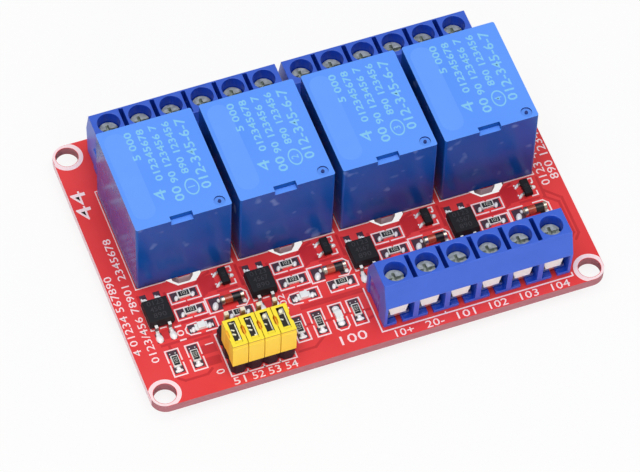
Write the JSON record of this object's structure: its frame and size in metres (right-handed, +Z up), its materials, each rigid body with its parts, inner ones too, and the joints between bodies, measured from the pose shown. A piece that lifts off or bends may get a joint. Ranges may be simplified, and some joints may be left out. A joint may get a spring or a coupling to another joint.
{
  "type": "relay module board",
  "caption": "Red circuit board with a row of sealed blue relays, screw terminal blocks on both long edges and a jumper header.",
  "frame": {"origin": "centre of the rectangle of mounting holes, on the underside of the board", "axes": "+X along the row of relays, +Y towards the output terminals, +Z up out of the component side"},
  "size_m": [0.0724, 0.05, 0.019],
  "materials": {
    "board_mask": "glossy red solder mask",
    "solder": "bright solder",
    "terminal_plastic": "satin blue moulded plastic",
    "contact_metal": "tinned sheet",
    "screw_metal": "nickel plated",
    "header_plastic": "black moulded plastic",
    "pin_metal": "gold flash",
    "cap_plastic": "yellow moulded plastic",
    "clip_metal": "tinned spring sheet",
    "relay_cover_plastic": "glossy translucent blue",
    "relay_base_plastic": "dark blue moulded plastic",
    "bobbin_plastic": "natural moulded plastic",
    "copper": "enamelled copper wire",
    "iron": "plated soft iron",
    "relay_contact_metal": "copper alloy",
    "pin_tin": "tinned",
    "package_black": "black moulding compound",
    "lead_tin": "tinned",
    "diode_glass": "amber glass",
    "chip_body": "black film on ceramic",
    "lamp_body": "white moulded lens"
  },
  "bodies": {
    "board": {"circuit_board": "board_mask", "solder_joints": "solder", "input_terminal_housing": "terminal_plastic", "output_terminal_housing_left": "terminal_plastic", "output_terminal_housing_right": "terminal_plastic", "terminal_contacts": "contact_metal", "header_base": "header_plastic", "header_pins": "pin_metal", "relay_cover_1": "relay_cover_plastic", "relay_cover_2": "relay_cover_plastic", "relay_cover_3": "relay_cover_plastic", "relay_cover_4": "relay_cover_plastic", "relay_bases": "relay_base_plastic", "relay_bobbins": "bobbin_plastic", "relay_windings": "copper", "relay_cores": "iron", "relay_yokes": "iron", "relay_contacts": "relay_contact_metal", "relay_coil_pins": "pin_tin", "optocouplers": "package_black", "optocoupler_leads": "lead_tin", "transistors": "package_black", "transistor_leads": "lead_tin", "diode_bodies": "diode_glass", "diode_caps": "lead_tin", "chip_resistors": "chip_body", "channel_lamps": "lamp_body", "power_lamp": "lamp_body"},
    "clamp_1": {"terminal_clamp_1": "screw_metal"},
    "clamp_2": {"terminal_clamp_2": "screw_metal"},
    "clamp_3": {"terminal_clamp_3": "screw_metal"},
    "clamp_4": {"terminal_clamp_4": "screw_metal"},
    "clamp_5": {"terminal_clamp_5": "screw_metal"},
    "clamp_6": {"terminal_clamp_6": "screw_metal"},
    "clamp_7": {"terminal_clamp_7": "screw_metal"},
    "clamp_8": {"terminal_clamp_8": "screw_metal"},
    "clamp_9": {"terminal_clamp_9": "screw_metal"},
    "clamp_10": {"terminal_clamp_10": "screw_metal"},
    "clamp_11": {"terminal_clamp_11": "screw_metal"},
    "clamp_12": {"terminal_clamp_12": "screw_metal"},
    "clamp_13": {"terminal_clamp_13": "screw_metal"},
    "clamp_14": {"terminal_clamp_14": "screw_metal"},
    "clamp_15": {"terminal_clamp_15": "screw_metal"},
    "clamp_16": {"terminal_clamp_16": "screw_metal"},
    "clamp_17": {"terminal_clamp_17": "screw_metal"},
    "clamp_18": {"terminal_clamp_18": "screw_metal"},
    "jumper_1": {"jumper_cap_1": "cap_plastic", "jumper_clip_1": "clip_metal"},
    "jumper_2": {"jumper_cap_2": "cap_plastic", "jumper_clip_2": "clip_metal"},
    "jumper_3": {"jumper_cap_3": "cap_plastic", "jumper_clip_3": "clip_metal"},
    "jumper_4": {"jumper_cap_4": "cap_plastic", "jumper_clip_4": "clip_metal"},
    "armature_1": {"relay_armature_1": "iron"},
    "armature_2": {"relay_armature_2": "iron"},
    "armature_3": {"relay_armature_3": "iron"},
    "armature_4": {"relay_armature_4": "iron"}
  },
  "joints": [
    {"name": "clamp_1_lift", "type": "slide", "parent": "board", "child": "clamp_1", "axis": [0, 0, 1], "range_m": [0, 0.002]},
    {"name": "clamp_2_lift", "type": "slide", "parent": "board", "child": "clamp_2", "axis": [0, 0, 1], "range_m": [0, 0.002]},
    {"name": "clamp_3_lift", "type": "slide", "parent": "board", "child": "clamp_3", "axis": [0, 0, 1], "range_m": [0, 0.002]},
    {"name": "clamp_4_lift", "type": "slide", "parent": "board", "child": "clamp_4", "axis": [0, 0, 1], "range_m": [0, 0.002]},
    {"name": "clamp_5_lift", "type": "slide", "parent": "board", "child": "clamp_5", "axis": [0, 0, 1], "range_m": [0, 0.002]},
    {"name": "clamp_6_lift", "type": "slide", "parent": "board", "child": "clamp_6", "axis": [0, 0, 1], "range_m": [0, 0.002]},
    {"name": "clamp_7_lift", "type": "slide", "parent": "board", "child": "clamp_7", "axis": [0, 0, 1], "range_m": [0, 0.002]},
    {"name": "clamp_8_lift", "type": "slide", "parent": "board", "child": "clamp_8", "axis": [0, 0, 1], "range_m": [0, 0.002]},
    {"name": "clamp_9_lift", "type": "slide", "parent": "board", "child": "clamp_9", "axis": [0, 0, 1], "range_m": [0, 0.002]},
    {"name": "clamp_10_lift", "type": "slide", "parent": "board", "child": "clamp_10", "axis": [0, 0, 1], "range_m": [0, 0.002]},
    {"name": "clamp_11_lift", "type": "slide", "parent": "board", "child": "clamp_11", "axis": [0, 0, 1], "range_m": [0, 0.002]},
    {"name": "clamp_12_lift", "type": "slide", "parent": "board", "child": "clamp_12", "axis": [0, 0, 1], "range_m": [0, 0.002]},
    {"name": "clamp_13_lift", "type": "slide", "parent": "board", "child": "clamp_13", "axis": [0, 0, 1], "range_m": [0, 0.002]},
    {"name": "clamp_14_lift", "type": "slide", "parent": "board", "child": "clamp_14", "axis": [0, 0, 1], "range_m": [0, 0.002]},
    {"name": "clamp_15_lift", "type": "slide", "parent": "board", "child": "clamp_15", "axis": [0, 0, 1], "range_m": [0, 0.002]},
    {"name": "clamp_16_lift", "type": "slide", "parent": "board", "child": "clamp_16", "axis": [0, 0, 1], "range_m": [0, 0.002]},
    {"name": "clamp_17_lift", "type": "slide", "parent": "board", "child": "clamp_17", "axis": [0, 0, 1], "range_m": [0, 0.002]},
    {"name": "clamp_18_lift", "type": "slide", "parent": "board", "child": "clamp_18", "axis": [0, 0, 1], "range_m": [0, 0.002]},
    {"name": "jumper_1_pull", "type": "slide", "parent": "board", "child": "jumper_1", "axis": [0, 0, 1], "range_m": [0, 0.006]},
    {"name": "jumper_2_pull", "type": "slide", "parent": "board", "child": "jumper_2", "axis": [0, 0, 1], "range_m": [0, 0.006]},
    {"name": "jumper_3_pull", "type": "slide", "parent": "board", "child": "jumper_3", "axis": [0, 0, 1], "range_m": [0, 0.006]},
    {"name": "jumper_4_pull", "type": "slide", "parent": "board", "child": "jumper_4", "axis": [0, 0, 1], "range_m": [0, 0.006]},
    {"name": "relay_1_armature", "type": "hinge", "parent": "board", "child": "armature_1", "pos_m": [-0.02432, -0.00095, 0.01255], "axis": [1, 0, 0], "range_deg": [-4, 0], "stiffness_Nm_per_rad": 0.001, "springref_deg": 11.46},
    {"name": "relay_2_armature", "type": "hinge", "parent": "board", "child": "armature_2", "pos_m": [-0.00797, -0.00095, 0.01255], "axis": [1, 0, 0], "range_deg": [-4, 0], "stiffness_Nm_per_rad": 0.001, "springref_deg": 11.46},
    {"name": "relay_3_armature", "type": "hinge", "parent": "board", "child": "armature_3", "pos_m": [0.00838, -0.00095, 0.01255], "axis": [1, 0, 0], "range_deg": [-4, 0], "stiffness_Nm_per_rad": 0.001, "springref_deg": 11.46},
    {"name": "relay_4_armature", "type": "hinge", "parent": "board", "child": "armature_4", "pos_m": [0.02473, -0.00095, 0.01255], "axis": [1, 0, 0], "range_deg": [-4, 0], "stiffness_Nm_per_rad": 0.001, "springref_deg": 11.46}
  ]
}
